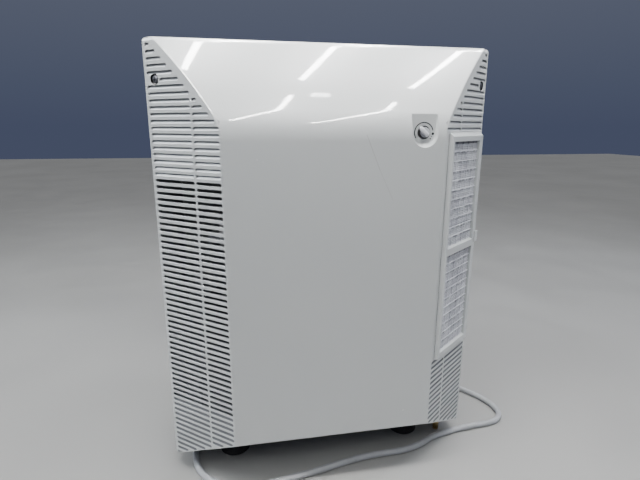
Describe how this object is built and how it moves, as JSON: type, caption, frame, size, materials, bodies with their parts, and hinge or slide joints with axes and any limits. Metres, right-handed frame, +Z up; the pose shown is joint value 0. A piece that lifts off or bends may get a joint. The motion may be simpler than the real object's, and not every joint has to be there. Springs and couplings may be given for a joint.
{
  "type": "compressor dehumidifier",
  "caption": "Floor-standing compressor dehumidifier: louvred moulded front, lift-off side filter, humidistat knob, fan and coils inside, rubber feet, drain nipple and mains lead.",
  "frame": {"origin": "under the middle of the cabinet, on the surface that the feet stand on", "axes": "+Z up; the flat front face looks along -Y and its right wing, with the filter, is at +X; the mains lead leaves the back at +Y"},
  "size_m": [0.4802, 0.428, 0.5222],
  "materials": {
    "cover_plastic": "injection moulded ABS in glossy off-white, lightly yellowed, with fine scratches",
    "net_plastic": "woven nylon net, whitish, dusty",
    "knob_plastic": "satin white",
    "white_plastic": "plain moulded white",
    "painted_steel": "off-white baked enamel, slightly textured",
    "zinc_steel": "bright zinc plate",
    "screw_steel": "dark zinc plate, dulled",
    "black_steel": "black baked paint",
    "rubber": "matt black",
    "copper": "drawn copper tube, dull",
    "brass": "turned brass, dull",
    "aluminium": "mill finish fins and can",
    "grey_plastic": "plain moulded grey",
    "cord_jacket": "smooth PVC jacket, light grey"
  },
  "bodies": {
    "root": {"back_panel": "painted_steel", "base_pan": "zinc_steel", "capacitor_strap": "zinc_steel", "capillary_tube": "copper", "compressor": "black_steel", "compressor_bolt_1": "zinc_steel", "compressor_bolt_2": "zinc_steel", "compressor_bolt_3": "zinc_steel", "compressor_grommet_1": "rubber", "compressor_grommet_2": "rubber", "compressor_grommet_3": "rubber", "condenser_coil": "aluminium", "cord_coil": "cord_jacket", "cord_tie": "rubber", "cover_bracket_left": "zinc_steel", "cover_bracket_right": "zinc_steel", "cover_screw_left": "screw_steel", "cover_screw_right": "screw_steel", "defrost_thermostat": "grey_plastic", "discharge_pipe": "copper", "drain_hose": "rubber", "drain_locknut": "brass", "drain_nipple": "brass", "drip_tray": "white_plastic", "evaporator_coil": "aluminium", "fan_bulkhead": "painted_steel", "fan_motor": "zinc_steel", "filter_drier": "copper", "foot_front_left": "rubber", "foot_front_right": "rubber", "foot_rear_left": "rubber", "foot_rear_right": "rubber", "front_cover": "cover_plastic", "gland_nut": "zinc_steel", "humidistat_body": "grey_plastic", "left_side_panel": "painted_steel", "liquid_line": "copper", "mains_plug": "grey_plastic", "motor_bracket": "zinc_steel", "power_cord": "cord_jacket", "right_side_panel": "painted_steel", "run_capacitor": "aluminium", "strain_relief": "grey_plastic", "suction_pipe": "copper", "terminal_box": "grey_plastic", "terminal_cover": "grey_plastic", "top_panel": "painted_steel"},
    "knob": {"humidistat_knob": "knob_plastic", "humidistat_spindle": "grey_plastic"},
    "fan_rotor": {"propeller": "grey_plastic", "motor_shaft": "zinc_steel", "hub_nut": "zinc_steel"},
    "filter": {"filter_frame": "cover_plastic", "filter_net_lower": "net_plastic", "filter_net_upper": "net_plastic"}
  },
  "joints": [
    {"name": "knob_turn", "type": "hinge", "parent": "root", "child": "knob", "pos_m": [0.0957, -0.15, 0.4265], "axis": [0, 1, 0], "range_deg": [-90, 180]},
    {"name": "fan_spin", "type": "hinge", "parent": "root", "child": "fan_rotor", "pos_m": [-0.03, -0.01, 0.29], "axis": [-1, 0, 0], "continuous": true},
    {"name": "filter_pull", "type": "slide", "parent": "root", "child": "filter", "axis": [0.6307, -0.776, 0], "range_m": [0, 0.06]}
  ]
}
